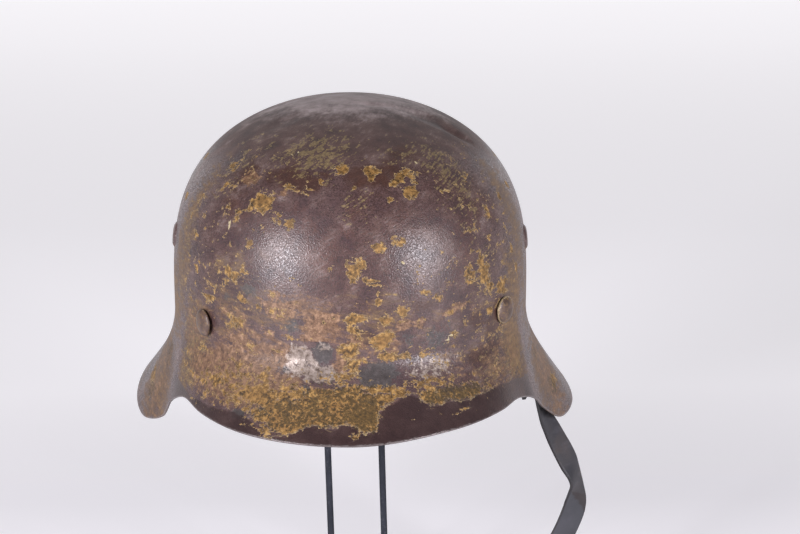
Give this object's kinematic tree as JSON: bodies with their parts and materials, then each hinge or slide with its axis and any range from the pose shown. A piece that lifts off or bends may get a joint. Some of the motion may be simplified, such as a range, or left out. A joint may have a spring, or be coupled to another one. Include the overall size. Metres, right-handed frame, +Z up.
{
  "type": "military steel helmet on a rod stand",
  "caption": "Flared steel combat helmet with visor, ear and neck guards, rivets and side vents, worn ochre paint on brown patina and a hanging leather strap, held up by a black rod stand.",
  "frame": {"origin": "on the ground, under the middle of the stand's base plate", "axes": "+Z up, the helmet's front faces -Y, +X is on the right for someone who looks at the front"},
  "size_m": [0.2532, 0.2893, 0.3002],
  "materials": {
    "patinated_steel": "rust-brown patina with flaked ochre paint, satin",
    "rivet_steel": "patinated steel with traces of ochre paint",
    "lug_steel": "dull dark steel",
    "strap_leather": "old dry dark grey-brown leather",
    "stand_black": "satin black"
  },
  "bodies": {
    "root": {"helmet_shell": "patinated_steel", "rivet_front_left": "rivet_steel", "rivet_front_right": "rivet_steel", "rivet_back": "rivet_steel", "strap_lug": "lug_steel", "chin_strap": "strap_leather", "stand_base": "stand_black", "stand_rod_left": "stand_black", "stand_rod_right": "stand_black", "stand_saddle": "stand_black"}
  },
  "joints": []
}
